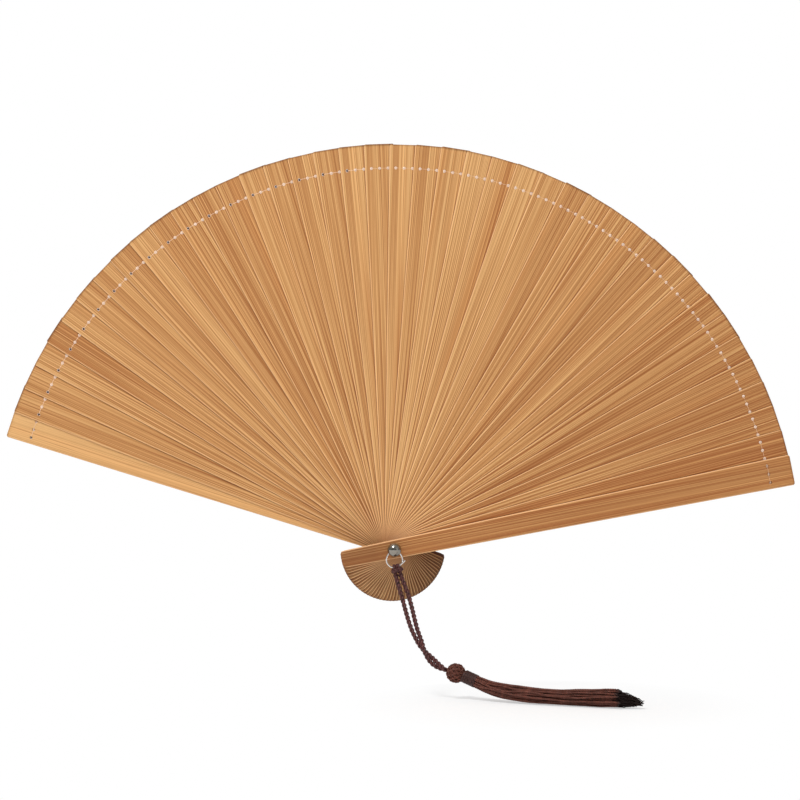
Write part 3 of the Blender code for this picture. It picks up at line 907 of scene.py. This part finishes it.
def skirt_tree():
    """Many twisted threads side by side along a path, inside its "reach", with uneven ends."""
    t = geometry_tree(
        "Tassel skirt",
        [
            ("Geometry", "Geometry", None),
            ("Threads", "Int", 34),
            ("Plies", "Int", 2),
            ("Ply radius", "Float", 0.00027),
            ("Lay length", "Float", 0.003),
            ("Points", "Int", 150),
            ("Wander", "Float", 0.0005),
            ("Uneven", "Float", 0.06),
            ("Table", "Float", -0.072),
            ("Seed", "Int", 0),
            ("Material", "Material", None),
        ],
    )
    g = t.given
    curve = t.node("GeometryNodeMeshToCurve", {"Mesh": g("Geometry")})
    curve = t.node("GeometryNodeResampleCurve", {"Curve": curve, "Count": g("Points")})
    threads = t.copied(curve, g("Threads"))
    number = threads.outputs["Duplicate Index"]
    reach = t.named("reach")
    share = t.over(t.plus(number, 0.5), g("Threads"))
    golden = t.times(number, (3.0 - math.sqrt(5.0)) / 2.0)
    factor = t.spline("Factor")
    drift = t.noise(t.xyz(t.times(factor, 3.5), number, t.times(g("Seed"), 1.7)), 1.0, 1.0)
    turns = t.plus(golden, t.times(t.minus(drift, 0.5), 0.22))
    out = laid_offset(t, turns, t.times(reach, t.math("SQRT", share)))
    wander = t.noise(t.xyz(t.times(factor, 6.0), t.times(number, 3.1), 8.0), 1.0, 1.0)
    around = t.vector("SUBTRACT", wander.node.outputs["Color"], (0.5, 0.5, 0.5))
    wander = t.scaled(around, t.times(g("Wander"), 2.0))
    settled = t.moved(threads, offset=t.vector("ADD", out, wander))
    x, y, z = t.position()
    lain = t.xyz(x, y, t.math("MAXIMUM", z, t.plus(g("Table"), t.times(g("Ply radius"), 2.0))))
    settled = t.moved(settled, lain)
    inputs = {"ID": number, "Seed": g("Seed")}
    chance = t.node("FunctionNodeRandomValue", inputs, data_type="FLOAT").outputs[1]
    end = t.minus(1.0, t.times(chance, g("Uneven")))
    trimmed = t.node("GeometryNodeTrimCurve", {"Curve": settled, "End": end})
    start = t.stored(trimmed, "start", chance, domain="CURVE")
    plies = t.copied(start, g("Plies"))
    length = t.spline("Length")
    begun = t.named("start")
    side = t.over(plies.outputs["Duplicate Index"], g("Plies"))
    lay = t.plus(t.plus(t.over(length, g("Lay length")), side), begun)
    laid = t.moved(plies, offset=laid_offset(t, lay, t.times(g("Ply radius"), 0.95)))
    t.results(Geometry=dressed_yarn(t, laid, g("Ply radius"), 5, g("Material")))
    return t.group


def smooth_route(points, count):
    """Evenly spaced points, in metres, on a smooth curve through a route in millimetres."""
    route = np.array(points, float) * MM
    route = np.vstack([2 * route[0] - route[1], route, 2 * route[-1] - route[-2]])
    steps = np.linspace(0, 1, 20, endpoint=False)[:, None]
    stretches = []
    for a, b, c, d in zip(route, route[1:], route[2:], route[3:]):
        curve = 2 * b + (c - a) * steps + (2 * a - 5 * b + 4 * c - d) * steps**2
        stretches.append((curve + (3 * b - a - 3 * c + d) * steps**3) / 2)
    fine = np.vstack([*stretches, route[-2]])
    run = np.concatenate([[0], np.cumsum(np.linalg.norm(np.diff(fine, axis=0), axis=1))])
    wanted = np.linspace(0, run[-1], count)
    return np.column_stack([np.interp(wanted, run, fine[:, k]) for k in range(3)])


def cross_frame(route):
    """Unit vectors along, across and in front of a route at each of its points."""
    along = np.gradient(route, axis=0)
    along /= np.linalg.norm(along, axis=1)[:, None]
    across = np.cross(along, (0, 1, 0))
    across /= np.linalg.norm(across, axis=1)[:, None]
    return along, across, np.cross(along, across)


def strand_points(side):
    """The centreline of one of the cord's two strands. side is -1 or 1."""
    middle = smooth_route(CORD_ROUTE, CORD_POINTS)
    _, across, front = cross_frame(middle)
    close = STRAND + STRAND_GAP
    points = []
    for k, share in enumerate(np.linspace(0, 1, CORD_POINTS)):
        apart = close
        if share < TWIST_START:
            apart += (STRAND_APART - close) * math.sin(math.pi * share / TWIST_START)
        turn = 2 * math.pi * CORD_TURNS * max(0.0, share - TWIST_START) / (1 - TWIST_START)
        out = math.cos(turn) * across[k] + math.sin(turn) * front[k]
        points.append(middle[k] + side * apart / 2 * out)
    return np.array(points)


def solid(name, bm):
    """An object in the scene from a bmesh, which is freed."""
    mesh = bpy.data.meshes.new(name)
    bm.to_mesh(mesh)
    bm.free()
    made = bpy.data.objects.new(name, mesh)
    bpy.context.scene.collection.objects.link(made)
    return made


def lathe(name, profile, steps=64):
    """A closed turned solid about the rivet's axis. profile is (radius, y) from front to back."""
    bm = bmesh.new()
    rings = []
    for radius, y in profile:
        if radius < 1e-9:
            rings.append([bm.verts.new((0, y, 0))])
            continue
        turns = (2 * math.pi * k / steps for k in range(steps))
        rings.append([bm.verts.new((radius * math.cos(a), y, radius * math.sin(a))) for a in turns])
    pairs = list(zip(rings, rings[1:]))
    if len(rings[0]) > 1:
        pairs.append((rings[-1], rings[0]))
    for one, two in pairs:
        for k in range(steps):
            n = (k + 1) % steps
            corners = [one[k % len(one)], one[n % len(one)], two[n % len(two)], two[k % len(two)]]
            bm.faces.new(list(dict.fromkeys(corners)))
    bmesh.ops.recalc_face_normals(bm, faces=bm.faces)
    made = solid(name, bm)
    made.data.shade_smooth()
    made.data.set_sharp_from_angle(angle=METAL_SHARP)
    return made


def arc(centre, radius, start, end, steps):
    """Points (radius, y) on a rounded corner of a turned profile, angles in degrees from outward to +Y."""
    turns = np.radians(np.linspace(start, end, steps))
    return [(centre[0] + radius * math.cos(a), centre[1] + radius * math.sin(a)) for a in turns]


# ---------------------------------------------------------------- operators


class FAN_OT_sticks(bpy.types.Operator):
    """Make the 40 leaves and the two guards of split bamboo"""

    bl_idname = "fan.sticks"
    bl_label = "Leaves and guards"

    def execute(self, context):
        scene = context.scene
        s, metal = scene.fan, scene.fan_metal
        tree = stick_tree()
        # The last value is the strength of the painted shadow line beside each edge; the guards get none.
        leaf = bamboo("leaf_splint", s, 1.0, 1.0, 0.9, 0.7)
        guard = bamboo("guard_splint", s, 1.0, 0.7, 0.5, 0.0)
        chance = np.random.default_rng(s.seed)
        for k, name in enumerate(STICKS):
            angle, depth, thickness = stick_pose(name)
            is_guard = name.endswith("guard")
            spare = float(chance.uniform(-RIM_SPREAD, RIM_SPREAD))
            # The drift adds painted light and shade by the stick's angle to its random tone.
            drift = float(np.interp(math.degrees(angle), TONE_ANGLES, TONE_AND_LIGHT_DRIFT))
            tone = float(np.clip(chance.normal(0.5, TONE_SPREAD) + drift, 1.0 - PALEST, PALEST))
            if name == "back_guard":
                tone = PALEST
            values = {
                "Rim radius": s.rim_radius + (0.0 if is_guard else spare),
                "Tail radius": s.tail_radius,
                "Rim width": s.rim_width,
                "Tail width": s.tail_width,
                "Thickness": thickness,
                "Edge wear": GUARD_WEAR if is_guard else LEAF_WEAR,
                "Edge width": GUARD_WEAR_WIDTH if is_guard else LEAF_WEAR_WIDTH,
                "Fibre relief": s.rib_depth * (1.6 if is_guard else 1.0),
                "Thread radius": s.thread_radius,
                "Thread spacing": s.thread_spacing,
                "Thread hole": s.thread_hole,
                "Rivet hole": metal.pin_radius + PIN_PLAY,
                "Angle": angle,
                "Depth": depth,
                "Number": float(k),
                "Tone": tone,
                # Tail shade is painted shade: deeper on the sticks further back, deepest on the back guard.
                "Tail shade": 1.0 if name == "back_guard" else 0.35 + 0.45 * (1.0 - k / len(STICKS)) ** 2,
                "Material": guard if is_guard else leaf,
            }
            piece = grown("fan_" + name, tree, values)
            placed(piece, name + "_body", "guard_bamboo" if is_guard else "leaf_bamboo", name)
        return {"FINISHED"}


class FAN_OT_thread(bpy.types.Operator):
    """Make the rim thread's stitches, one set on each stick"""

    bl_idname = "fan.thread"
    bl_label = "Rim thread"

    def execute(self, context):
        s = context.scene.fan
        tree = stitch_tree()
        # The tips colour darkens the outer plugs past the angle set above: painted shade for shadowed holes.
        cotton = yarn("rim_thread", s.thread, 0.25, 0.2, s.shaded)
        knots = {"back_guard": "thread_knot_back", "front_guard": "thread_knot_front"}
        for k, name in enumerate(STICKS):
            angle, depth, thickness = stick_pose(name)
            # Past that angle the thread is looser, and its outer plug is dark with painted shade.
            worn = math.degrees(angle) > LOOSE_AND_SHADED_FROM
            values = {
                "Thickness": thickness,
                "Thread radius": s.thread_radius,
                "Thread spacing": s.thread_spacing,
                "Plug radius": s.thread_hole - PLUG_PLAY,
                "Yarn radius": LOOSE_YARN if worn else TIGHT_YARN,
                "Painted hole shade": 1.0 if worn else 0.0,
                "Reach behind": s.thread_spacing if name == "front_guard" else THREAD_BEHIND,
                "Angle": angle,
                "Depth": depth,
                "Number": float(k),
                "Material": cotton,
            }
            piece = grown("stitches_" + name, tree, values)
            placed(piece, name + "_body", "thread_cotton", *([knots[name]] if name in knots else []))
        return {"FINISHED"}


class FAN_OT_rivet(bpy.types.Operator):
    """Make the rivet with its drilled ball head, the two washers and the cap"""

    bl_idname = "fan.rivet"
    bl_label = "Rivet"

    def execute(self, context):
        s = context.scene.fan_metal
        nickel = plated("rivet_plating", s.nickel, 0.35)
        low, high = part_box("rivet_post")
        centre = low.y + s.ball_radius
        base = math.asin(s.pin_radius / s.ball_radius)
        ball = arc((0.0, centre), s.ball_radius, -90, 90 - math.degrees(base) - 3, 40)
        neck = centre + s.ball_radius * math.cos(base)
        tip = [
            (s.pin_radius, high.y - PIN_CHAMFER),
            (s.pin_radius - PIN_CHAMFER, high.y),
            (0.0, high.y),
        ]
        post = lathe("rivet_ball", [(0.0, low.y), *ball[1:], (s.pin_radius, neck), *tip])
        self.drill(post, centre, s)
        post.data.materials.append(nickel)
        placed(post, "rivet", "rivet_nickel", "rivet_post")
        for name, node in (("rivet_collar", "front_washer"), ("rivet_back_collar", "back_washer")):
            low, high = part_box(node)
            hole = s.pin_radius + 2 * PIN_PLAY
            rim = high.x - COLLAR_EDGE
            profile = [
                (hole, low.y),
                *arc((rim, low.y + COLLAR_EDGE), COLLAR_EDGE, -90, 0, 6),
                *arc((rim, high.y - COLLAR_EDGE), COLLAR_EDGE, 0, 90, 6),
                (hole, high.y),
            ]
            washer = lathe(name, profile)
            washer.data.materials.append(nickel)
            placed(washer, "rivet", "rivet_nickel", node)
        low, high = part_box("rivet_cap")
        flat = low.y + 0.3 * (high.y - low.y)
        dome = [
            (high.x * math.cos(a), flat + (high.y - flat) * math.sin(a))
            for a in np.linspace(0.12, math.pi / 2, 24)
        ]
        bore = s.pin_radius + 2 * PIN_PLAY
        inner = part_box("rivet_post")[1].y + 0.0003
        dome[-1] = (0.0, high.y)
        edge = arc((high.x - CAP_EDGE, low.y + CAP_EDGE), CAP_EDGE, -90, 0, 6)
        cap = lathe("rivet_end_cap", [(0.0, inner), (bore, inner), (bore, low.y), *edge, *dome])
        cap.data.materials.append(nickel)
        placed(cap, "rivet", "rivet_nickel", "rivet_cap")
        return {"FINISHED"}

    def drill(self, post, centre, s):
        """Cuts the eye that the ring hangs in: a bent channel, flared for the ring's tilt."""
        top = RING_MIDDLE + s.ring_radius
        reach = s.ball_radius + 0.0004
        sides = 24
        sections = []
        for x in np.linspace(-reach, reach, 31):
            aside = min(abs(x), 0.97 * s.ring_radius)
            drop = s.ring_radius - math.sqrt(s.ring_radius**2 - aside**2)
            lean = drop * math.sin(EYE_LEAN)
            radius = s.wire_radius + EYE_PLAY + lean
            y = centre - lean
            z = top - drop * math.cos(EYE_LEAN)
            turns = (2 * math.pi * k / sides for k in range(sides))
            sections.append([(x, y + radius * math.cos(a), z + radius * math.sin(a)) for a in turns])
        bm = bmesh.new()
        rings = [[bm.verts.new(point) for point in section] for section in sections]
        for one, two in zip(rings, rings[1:]):
            for k in range(sides):
                n = (k + 1) % sides
                bm.faces.new((one[k], one[n], two[n], two[k]))
        bm.faces.new(rings[0])
        bm.faces.new(rings[-1])
        bmesh.ops.recalc_face_normals(bm, faces=bm.faces)
        cutter = solid("eye", bm)
        cut = post.modifiers.new("eye", "BOOLEAN")
        cut.operation = "DIFFERENCE"
        cut.object = cutter
        depsgraph = bpy.context.evaluated_depsgraph_get()
        drilled = bpy.data.meshes.new_from_object(post.evaluated_get(depsgraph))
        post.modifiers.clear()
        post.data = drilled
        drilled.shade_smooth()
        drilled.set_sharp_from_angle(angle=METAL_SHARP)
        bpy.data.objects.remove(cutter)


class FAN_OT_ring(bpy.types.Operator):
    """Make the split wire ring"""

    bl_idname = "fan.ring"
    bl_label = "Ring"

    def execute(self, context):
        s = context.scene.fan_metal
        low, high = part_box("hanging_ring")
        centre = (low + high) / 2
        turns = np.radians(np.linspace(RING_START, RING_END, RING_STEPS))
        round_part = [Vector((math.cos(a), 0.0, math.sin(a))) * s.ring_radius for a in turns]
        points = [(p.x, centre.y, centre.z + p.z) for p in round_part]
        end = Vector(points[-1])
        leave = Vector((-math.sin(turns[-1]), 0.0, math.cos(turns[-1])))
        for k in range(1, SPRUNG_STEPS + 1):
            points.append(tuple(end + SPRUNG_END * s.ring_radius * k / SPRUNG_STEPS * leave))
        values = {
            "Plies": 1,
            "Lay radius": 0.0,
            "Ply radius": s.wire_radius,
            "Step": 0.00025,
            "Sides": 14,
            "Material": plated("ring_wire", s.wire, 0.25),
        }
        piece = grown("split_ring", shared("Laid strand", strand_tree), values, (points, None, False))
        placed(piece, "ring", "ring_steel", "hanging_ring")
        return {"FINISHED"}


class FAN_OT_cord(bpy.types.Operator):
    """Make the cord's two laid strands, its hitch on the ring and the tassel's head knot and neck"""

    bl_idname = "fan.cord"
    bl_label = "Cord and knots"

    def execute(self, context):
        scene = context.scene
        s = scene.fan_cord
        silk = yarn("laid_silk", s.cord, 1.2, 0.5)
        tassel = tassel_thread(s)
        tree = shared("Laid strand", strand_tree)
        hitch = self.hitch(tree, silk, scene.fan_metal)
        knot = self.head_knot(tree, tassel)
        neck = self.neck(tree, yarn("neck_silk", s.neck, 0.9, 0.3))
        for side, node in ((-1, "cord_left"), (1, "cord_right")):
            points = strand_points(side)
            values = {
                "Lay radius": 0.28 * STRAND,
                "Ply radius": 0.36 * STRAND,
                "Lay length": s.lay_length,
                "Step": s.lay_length / 12,
                "Sides": 12,
                "Phase": 0.25 * side,
                "Material": silk,
            }
            piece = grown("laid_" + node, tree, values, (points, None, False))
            placed(piece, "cord", "cord_silk", node)
        return {"FINISHED"}

    def hitch(self, tree, silk, metal):
        """A lark's head: the doubled strand goes over the ring, and its bight comes round in front."""
        half = (
            (-1.05, 2.3, 0.3),
            (-1.0, 1.3, 0.75),
            (-0.85, 0.0, 1.1),
            (-0.85, -1.0, 0.2),
            (-0.95, -0.6, -0.9),
            (-1.5, 0.4, -1.15),
            (-2.1, 1.3, -0.6),
            (-2.3, 1.55, 0.5),
            (-1.5, 1.45, 1.5),
        )
        route = [*half, (0.0, 1.35, 1.8), *[(-t, n, f) for t, n, f in reversed(half)]]
        low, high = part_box("hanging_ring")
        centre = (low + high) / 2
        out = Vector((math.cos(HITCH_TURN), 0.0, math.sin(HITCH_TURN)))
        along = Vector((-math.sin(HITCH_TURN), 0.0, math.cos(HITCH_TURN)))
        start = centre + metal.ring_radius * out
        points = [start + MM * (t * along + n * out) + Vector((0.0, -f * MM, 0.0)) for t, n, f in route]
        points = smooth_route(np.array(points) / MM, 90)
        values = {
            "Lay radius": 0.00046,
            "Ply radius": 0.00052,
            "Lay length": 0.0034,
            "Step": 0.00025,
            "Sides": 10,
            "Material": silk,
        }
        piece = grown("larks_head", tree, values, (points, None, False))
        return placed(piece, "cord", "cord_silk", "cord_hitch")

    def head_knot(self, tree, silk):
        """A Turk's head of nine leads and eleven bights over a core."""
        leads, bights = 9, 11
        low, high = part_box("tassel_head_knot")
        centre = np.array((low + high) / 2)
        radius = (high.z - low.z) / 2 - 0.0006
        axis = np.array(TASSEL_ROUTE[1]) - np.array(TASSEL_ROUTE[0])
        axis /= np.linalg.norm(axis)
        across = np.cross(axis, (0, 1, 0))
        across /= np.linalg.norm(across)
        front = np.cross(axis, across)
        points = []
        for turn in np.linspace(0, 2 * math.pi * leads, 1100, endpoint=False):
            phase = bights * turn / leads
            lap = math.floor(phase / math.pi)
            place = (phase / math.pi - lap) * leads
            weave = math.cos(math.pi * (lap * (leads - 1) + min(max(place, 0.5), leads - 0.5)))
            height = radius + 0.00026 * weave
            tilt = math.radians(72) * math.cos(phase)
            around = math.cos(turn) * across + math.sin(turn) * front
            points.append(centre + height * (math.sin(tilt) * axis + math.cos(tilt) * around))
        values = {
            "Lay radius": 0.00024,
            "Ply radius": 0.00026,
            "Lay length": 0.002,
            "Step": 0.00028,
            "Sides": 6,
            "Material": silk,
        }
        piece = grown("turks_head", tree, values, (points, None, True))
        joined(piece, self.core("knot_core", centre, radius - 0.00035, silk))
        return placed(piece, "tassel", "tassel_silk", "tassel_head_knot")

    def core(self, name, centre, radius, silk):
        bm = bmesh.new()
        bmesh.ops.create_icosphere(bm, subdivisions=3, radius=radius)
        bmesh.ops.translate(bm, verts=bm.verts, vec=Vector(centre))
        made = solid(name, bm)
        made.data.shade_smooth()
        made.data.materials.append(silk)
        return made

    def neck(self, tree, silk):
        """Silk wound round the bundle below the head knot."""
        route = smooth_route(TASSEL_ROUTE, 120)
        route = route[: round(NECK_SHARE * len(route)) + 1]
        lead = route[0] - route[1]
        route = np.vstack([route[0] + 1.6 * lead, route])
        values = {
            "Plies": 1,
            "Lay radius": 0.00285,
            "Lay length": 0.00078,
            "Ply radius": 0.00046,
            "Step": 0.00005,
            "Sides": 8,
            "Material": silk,
        }
        piece = grown("neck_winding", tree, values, (route, None, False))
        values = {
            "Plies": 1,
            "Lay radius": 0.0,
            "Ply radius": 0.0028,
            "Step": 0.0006,
            "Sides": 24,
            "Material": silk,
        }
        joined(piece, grown("neck_core", tree, values, (route, None, False)))
        return placed(piece, "tassel", "tassel_silk", "tassel_neck_binding")


def joined(piece, *others):
    """Adds the other objects' meshes to the piece's mesh."""
    bm = bmesh.new()
    bm.from_mesh(piece.data)
    for other in others:
        bm.from_mesh(other.data)
        bpy.data.objects.remove(other)
    bm.to_mesh(piece.data)
    bm.free()


class FAN_OT_tassel(bpy.types.Operator):
    """Make the tassel's skirt of twisted threads with frayed tips"""

    bl_idname = "fan.tassel"
    bl_label = "Tassel skirt"

    def execute(self, context):
        s = context.scene.fan_cord
        silk = tassel_thread(s)
        tree = skirt_tree()
        route = smooth_route(TASSEL_ROUTE, 120)
        skirt = route[round(NECK_SHARE * len(route)) : round(SKIRT_END * len(route)) : 3]
        shares = np.linspace(0, SKIRT_END, len(skirt))
        reach = np.interp(shares, np.linspace(0, 1, len(SKIRT_RADII)), SKIRT_RADII) * MM - 0.0004
        values = {
            "Threads": s.skirt_threads,
            "Plies": 2,
            "Ply radius": 0.00027,
            "Lay length": 0.0024,
            "Points": 175,
            "Wander": 0.00025,
            "Uneven": 0.04,
            "Table": TABLE_HEIGHT,
            "Seed": s.seed,
            "Material": silk,
        }
        piece = grown("skirt_threads", tree, values, (skirt, reach, False))
        placed(piece, "tassel", "tassel_silk", "tassel_skirt")
        step = skirt[-1] - skirt[-2]
        droop = np.array((0.0, 0.0, -0.00028))
        tail = np.array([skirt[-3] + step * k + droop * k for k in np.linspace(0, 6.6, 12)])
        reach = np.interp(np.linspace(0, 1, len(tail)), (0, 0.35, 1), (0.0036, 0.0036, 0.0012))
        frayed = yarn("tassel_tips", s.tips, 0.5, 0.1)
        values.update({"Threads": 170, "Plies": 1, "Ply radius": 0.00014, "Points": 14, "Wander": 0.0008,
                       "Uneven": 0.5, "Seed": s.seed + 1, "Material": frayed})
        tips = grown("frayed_tips", tree, values, (tail, reach, False))
        placed(tips, "tassel", "tassel_silk")
        return {"FINISHED"}


class FAN_OT_stage(bpy.types.Operator):
    """Make the pale floor, the soft lights and the camera"""

    bl_idname = "fan.stage"
    bl_label = "Stage"

    def execute(self, context):
        scene = context.scene
        s = scene.fan_stage
        bm = bmesh.new()
        bmesh.ops.create_grid(bm, x_segments=1, y_segments=1, size=30.0)
        bmesh.ops.translate(bm, verts=bm.verts, vec=(0, 0, TABLE_HEIGHT))
        floor = solid("floor", bm)

        def pale(t, shader):
            place = t.node("ShaderNodeTexCoord").outputs["Object"]
            cloud = t.ranged(t.noise(place, 3.0, 2.0), 0.3, 0.7, 0.93, 0.95)
            grey = t.node("ShaderNodeCombineColor", {"Red": cloud, "Green": cloud, "Blue": cloud})
            t.put(shader.inputs["Base Color"], grey)
            shader.inputs["Roughness"].default_value = 0.9
            shader.inputs["Specular IOR Level"].default_value = 0.1
            apart = t.vector("SUBTRACT", place, TASSEL_PLACE)
            distance = t.node("ShaderNodeVectorMath", {0: apart}, operation="LENGTH").outputs["Value"]
            far = t.ranged(distance, 0.03, 0.1, 0.45, 1.0)
            seen = t.node("ShaderNodeLightPath").outputs["Is Camera Ray"]
            lit = t.node("ShaderNodeEmission", {"Color": (1.0, 1.0, 1.0, 1.0), "Strength": 1.0})
            mixed = t.node("ShaderNodeMixShader", {0: t.times(far, seen), 1: shader, 2: lit})
            t.put(t.group.nodes["Material Output"].inputs["Surface"], mixed)

        floor.data.materials.append(finish("pale_floor", pale))
        self.light("key_light", (-0.55, -0.8, 1.4), s.key, 0.45)
        self.light("fill_light", (1.2, -1.1, 0.5), s.fill, 1.0)
        self.surround(scene, s.sky)
        camera = bpy.data.cameras.new("camera")
        camera.sensor_width = 36.0
        camera.lens = 36.0 * s.distance / s.view_width
        viewer = bpy.data.objects.new("camera", camera)
        viewer.location = (s.aim - s.distance * math.tan(s.turn), -s.distance, s.height)
        viewer.rotation_euler = (math.pi / 2, 0.0, -s.turn)
        scene.collection.objects.link(viewer)
        scene.camera = viewer
        scene.view_settings.view_transform = "Standard"
        return {"FINISHED"}

    def light(self, name, place, power, size):
        """A soft square lamp that faces the fan."""
        lamp = bpy.data.lights.new(name, "AREA")
        lamp.energy = power
        lamp.size = size
        holder = bpy.data.objects.new(name, lamp)
        holder.location = place
        away = Vector(place) - Vector(LIT_POINT)
        holder.rotation_euler = away.to_track_quat("Z", "Y").to_euler()
        bpy.context.scene.collection.objects.link(holder)

    def surround(self, scene, strength):
        """White to the camera, and softer where it lights the fan."""
        world = bpy.data.worlds.new("surround")
        world.use_nodes = True
        scene.world = world
        t = Tree(world.node_tree)
        backdrop = world.node_tree.nodes["Background"]
        backdrop.inputs["Color"].default_value = (1.0, 1.0, 1.0, 1.0)
        seen = t.node("ShaderNodeLightPath").outputs["Is Camera Ray"]
        _, y, z = t.split(t.node("ShaderNodeTexCoord").outputs["Generated"])
        above = t.ranged(t.plus(z, t.times(y, 0.35)), -0.3, 0.7, 0.25 * strength, 1.25 * strength)
        glow = t.plus(seen, t.times(t.minus(1.0, seen), above))
        t.put(backdrop.inputs["Strength"], glow)


class FAN_PT_panel(bpy.types.Panel):
    """Lists the fan's pieces and their settings."""

    bl_idname = "FAN_PT_panel"
    bl_label = "Folding fan"
    bl_space_type = "VIEW_3D"
    bl_region_type = "UI"
    bl_category = "Fan"

    def draw(self, context):
        for operator in OPERATORS:
            self.layout.operator(operator.bl_idname)
        for group in ("fan", "fan_cord", "fan_metal", "fan_stage"):
            settings = getattr(context.scene, group)
            box = self.layout.box()
            for name in settings.__annotations__:
                box.prop(settings, name)


OPERATORS = (
    FAN_OT_sticks,
    FAN_OT_thread,
    FAN_OT_rivet,
    FAN_OT_ring,
    FAN_OT_cord,
    FAN_OT_tassel,
    FAN_OT_stage,
)
SETTINGS = {
    "fan": FanSettings,
    "fan_cord": CordSettings,
    "fan_metal": MetalSettings,
    "fan_stage": StageSettings,
}


def register():
    for made in (*SETTINGS.values(), *OPERATORS, FAN_PT_panel):
        bpy.utils.register_class(made)
    for name, group in SETTINGS.items():
        setattr(bpy.types.Scene, name, PointerProperty(type=group))


def unregister():
    for name in SETTINGS:
        delattr(bpy.types.Scene, name)
    for made in reversed((*SETTINGS.values(), *OPERATORS, FAN_PT_panel)):
        bpy.utils.unregister_class(made)


def main():
    register()
    bpy.ops.fan.stage()
    bpy.ops.fan.cord()
    bpy.ops.fan.tassel()
    bpy.ops.fan.sticks()
    bpy.ops.fan.thread()
    bpy.ops.fan.rivet()
    bpy.ops.fan.ring()


if __name__ == "__main__":
    main()
